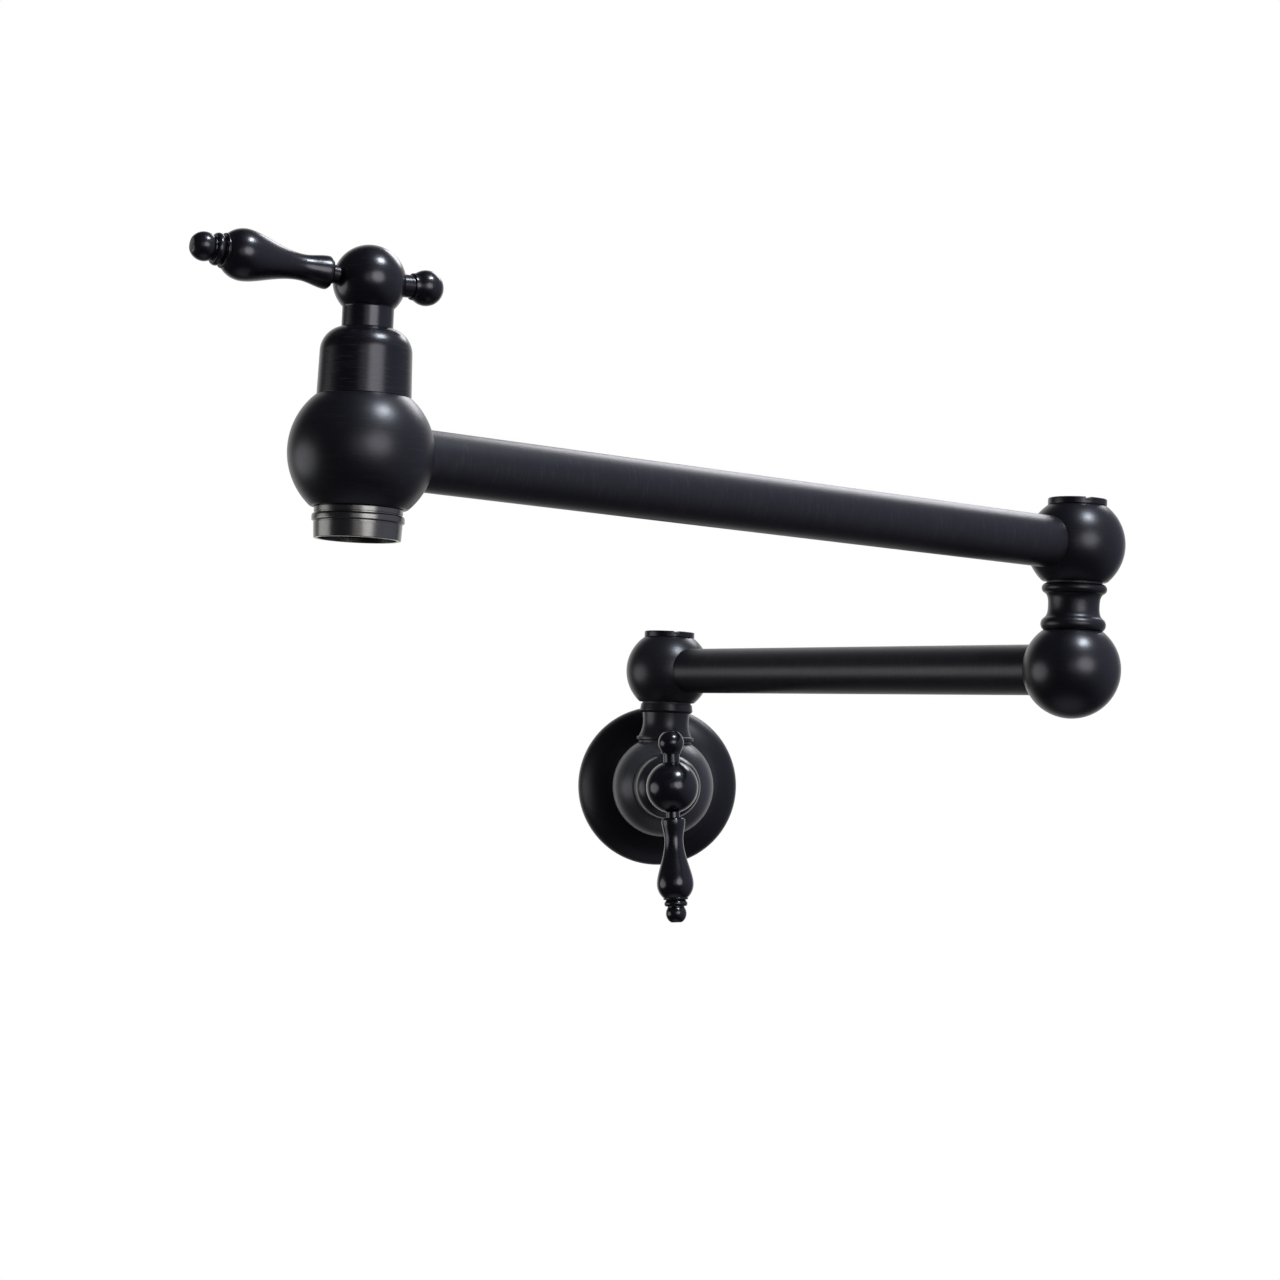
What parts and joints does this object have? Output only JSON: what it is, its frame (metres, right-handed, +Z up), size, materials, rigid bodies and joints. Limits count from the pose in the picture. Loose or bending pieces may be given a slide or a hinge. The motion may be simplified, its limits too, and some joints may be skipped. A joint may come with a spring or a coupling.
{
  "type": "wall mounted pot filler",
  "caption": "Wall mounted pot filler with a folding double jointed arm on ball swivels, a lever valve at the wall and a lever valve above the outlet.",
  "frame": {"origin": "centre of the flange's back face, on the axis of the wall valve", "axes": "+Z up, +Y into the wall, +X to the right as seen by someone facing the wall"},
  "size_m": [0.3341, 0.4911, 0.2194],
  "materials": {
    "satin_black": "satin black coating on brass, fine brushed grain",
    "brass": "machined brass",
    "steel": "plain steel",
    "ceramic": "polished alumina ceramic",
    "rubber": "moulded rubber",
    "nylon": "black nylon",
    "insert_plastic": "moulded dark grey plastic"
  },
  "bodies": {
    "wall_valve": {"wall_flange": "satin_black", "flange_gasket": "rubber", "inlet_nipple": "brass", "inlet_strainer": "steel", "wall_valve_body": "satin_black", "wall_cartridge_body": "brass", "wall_fixed_disc": "ceramic", "wall_seat_seal": "rubber", "wall_cartridge_o_ring": "rubber", "wall_bonnet": "satin_black", "wall_swivel_neck": "satin_black", "wall_swivel_thrust_washer": "nylon", "wall_swivel_o_rings": "rubber", "wall_swivel_nut": "brass", "wall_swivel_nut_washer": "nylon"},
    "wall_lever": {"wall_spindle": "brass", "wall_moving_disc": "ceramic", "wall_handle_hub": "satin_black", "wall_handle_lever": "satin_black", "wall_handle_knob": "satin_black", "wall_handle_screw": "steel"},
    "inner_arm": {"wall_swivel_ball": "satin_black", "wall_swivel_cap": "satin_black", "inner_tube": "satin_black", "elbow_lower_ball": "satin_black", "elbow_neck": "satin_black", "elbow_swivel_thrust_washer": "nylon", "elbow_swivel_o_rings": "rubber", "elbow_swivel_nut": "brass", "elbow_swivel_nut_washer": "nylon"},
    "outer_arm": {"elbow_swivel_ball": "satin_black", "elbow_swivel_cap": "satin_black", "outer_tube": "satin_black", "spout_body": "satin_black", "spout_cartridge_body": "brass", "spout_fixed_disc": "ceramic", "spout_seat_seal": "rubber", "spout_cartridge_o_ring": "rubber", "spout_bonnet": "satin_black", "outlet_nozzle": "satin_black", "aerator_insert": "insert_plastic", "aerator_gasket": "rubber"},
    "spout_lever": {"spout_spindle": "brass", "spout_moving_disc": "ceramic", "spout_handle_hub": "satin_black", "spout_handle_lever": "satin_black", "spout_handle_knob": "satin_black", "spout_handle_screw": "steel"}
  },
  "joints": [
    {"name": "inner_arm_swing", "type": "hinge", "parent": "wall_valve", "child": "inner_arm", "pos_m": [0, -0.0378, 0.0513], "axis": [0, 0, 1], "range_deg": [-123.8, 56.2]},
    {"name": "outer_arm_swing", "type": "hinge", "parent": "inner_arm", "child": "outer_arm", "pos_m": [0.13713, -0.24264, 0.0985], "axis": [0, 0, 1], "continuous": true},
    {"name": "wall_lever_turn", "type": "hinge", "parent": "wall_valve", "child": "wall_lever", "pos_m": [0, -0.0378, 0], "axis": [0, -1, 0], "range_deg": [0, 90]},
    {"name": "spout_lever_turn", "type": "hinge", "parent": "outer_arm", "child": "spout_lever", "pos_m": [-0.12591, -0.43942, 0.0985], "axis": [0, 0, 1], "range_deg": [0, 90]}
  ]
}
